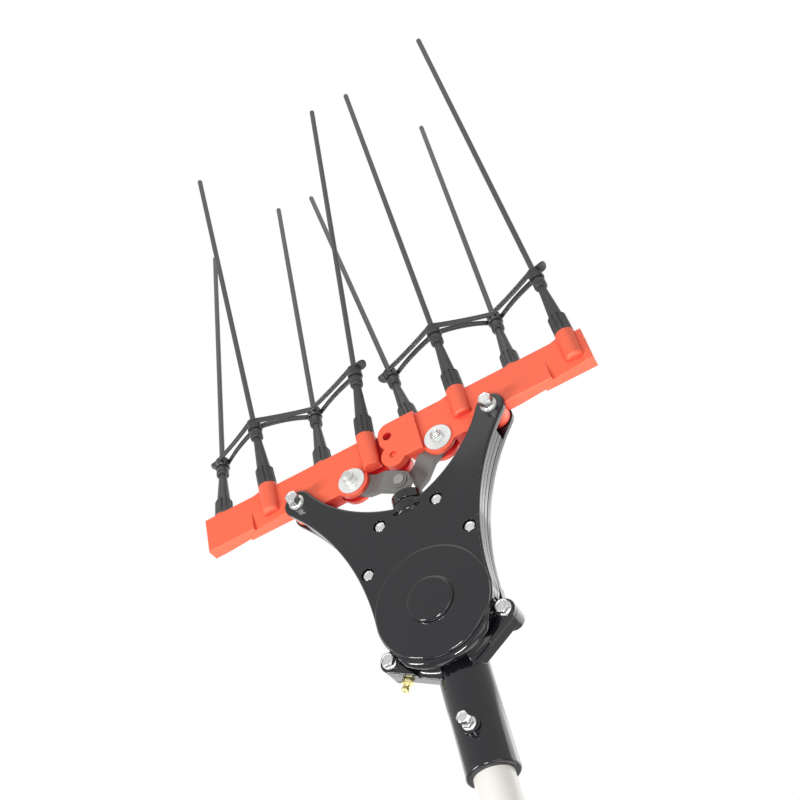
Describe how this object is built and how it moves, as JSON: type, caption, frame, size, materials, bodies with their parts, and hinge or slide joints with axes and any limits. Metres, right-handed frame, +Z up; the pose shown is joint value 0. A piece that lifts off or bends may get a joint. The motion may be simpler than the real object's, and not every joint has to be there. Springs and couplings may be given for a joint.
{
  "type": "olive harvester head",
  "caption": "Pole-mounted olive harvester head: forked black gear housing whose push rod and links swing two orange combs of long carbon tines.",
  "frame": {"origin": "pole's axis at its lower cut end", "axes": "+Z up the pole to the tines, +X to the right seen from the front, front of the head towards -Y"},
  "size_m": [0.366, 0.1175, 0.8436],
  "materials": {
    "housing_black": "cast aluminium under glossy black paint",
    "gasket_black": "thin fibre and rubber gasket",
    "zinc_steel": "zinc-plated",
    "bright_steel": "ground",
    "spring_steel": "blued spring steel",
    "gear_steel": "machined",
    "link_steel": "stamped, lightly oiled",
    "gland_black": "turned, glossy",
    "seal_rubber": "soft",
    "bush_bronze": "sintered bronze",
    "bush_plastic": "plain",
    "nipple_brass": "turned",
    "pole_white": "pale satin coating",
    "comb_orange": "moulded, satin",
    "holder_rubber": "moulded",
    "tine_carbon": "pultruded carbon rod",
    "strap_rubber": "moulded"
  },
  "bodies": {
    "housing": {"rear_body": "housing_black", "front_cover": "housing_black", "body_gasket": "gasket_black", "cover_screws": "zinc_steel", "lug_bolts": "zinc_steel", "pivot_bolts": "zinc_steel", "pivot_washers": "zinc_steel", "pivot_nuts": "zinc_steel", "pivot_sleeves": "bright_steel", "rod_gland": "gland_black", "gland_seal": "seal_rubber", "rod_bush": "bush_bronze", "grease_nipple": "nipple_brass", "pole_tube": "pole_white", "shaft_bush": "bush_plastic", "pole_lock_bolt": "zinc_steel", "pole_lock_nut": "zinc_steel", "pinion_bearing_lower": "bright_steel", "pinion_spacer": "bright_steel", "pinion_bearing_upper": "bright_steel", "axle_bearing_front": "bright_steel", "axle_bearing_rear": "bright_steel"},
    "drive": {"drive_pinion": "gear_steel", "drive_shaft": "gear_steel", "pinion_circlip": "spring_steel"},
    "crank": {"crank_wheel": "gear_steel", "crank_axle": "bright_steel", "axle_circlip": "spring_steel"},
    "rod": {"push_rod": "bright_steel", "scotch_yoke": "gear_steel", "crank_pin": "bright_steel", "crank_roller": "bright_steel", "link_pin": "link_steel", "link_pin_washers": "link_steel", "link_pin_circlip": "spring_steel"},
    "left_link": {"link_left": "link_steel"},
    "right_link": {"link_right": "link_steel"},
    "left_comb": {"comb_left": "comb_orange", "pivot_bush_left": "bush_bronze", "link_bolt_left": "zinc_steel", "link_washers_left": "zinc_steel", "link_nut_left": "zinc_steel", "tine_holders_left": "holder_rubber", "tines_left": "tine_carbon", "tie_strap_left": "strap_rubber"},
    "right_comb": {"comb_right": "comb_orange", "pivot_bush_right": "bush_bronze", "link_bolt_right": "zinc_steel", "link_washers_right": "zinc_steel", "link_nut_right": "zinc_steel", "tine_holders_right": "holder_rubber", "tines_right": "tine_carbon", "tie_strap_right": "strap_rubber"}
  },
  "joints": [
    {"name": "crank_spin", "type": "hinge", "parent": "housing", "child": "crank", "pos_m": [0, 0, 0.231], "axis": [0, 1, 0], "continuous": true},
    {"name": "drive_spin", "type": "hinge", "parent": "housing", "child": "drive", "pos_m": [0, 0, 0.1], "axis": [0, 0, 1], "continuous": true},
    {"name": "left_comb_swing", "type": "hinge", "parent": "housing", "child": "left_comb", "pos_m": [-0.091, -0.01875, 0.38], "axis": [0, -1, 0], "range_deg": [0, 15.5]},
    {"name": "right_comb_swing", "type": "hinge", "parent": "housing", "child": "right_comb", "pos_m": [0.091, -0.01875, 0.38], "axis": [0, 1, 0], "range_deg": [0, 15.5]},
    {"name": "rod_slide", "type": "slide", "parent": "housing", "child": "rod", "axis": [0, 0, 1], "range_m": [0, 0.016]},
    {"name": "left_link_hinge", "type": "hinge", "parent": "rod", "child": "left_link", "pos_m": [0, -0.01875, 0.3535], "axis": [0, -1, 0], "range_deg": [0, 3]},
    {"name": "right_link_hinge", "type": "hinge", "parent": "rod", "child": "right_link", "pos_m": [0, -0.01875, 0.3535], "axis": [0, 1, 0], "range_deg": [0, 3]}
  ],
  "couplings": [
    {"joint": "drive_spin", "follows": "crank_spin", "ratio": -3.6},
    {"joint": "right_comb_swing", "follows": "left_comb_swing", "ratio": 1},
    {"joint": "rod_slide", "follows": "left_comb_swing", "m_per_rad": 0.0567},
    {"joint": "left_link_hinge", "follows": "left_comb_swing", "ratio": 0.16874},
    {"joint": "right_link_hinge", "follows": "left_comb_swing", "ratio": 0.16874}
  ]
}
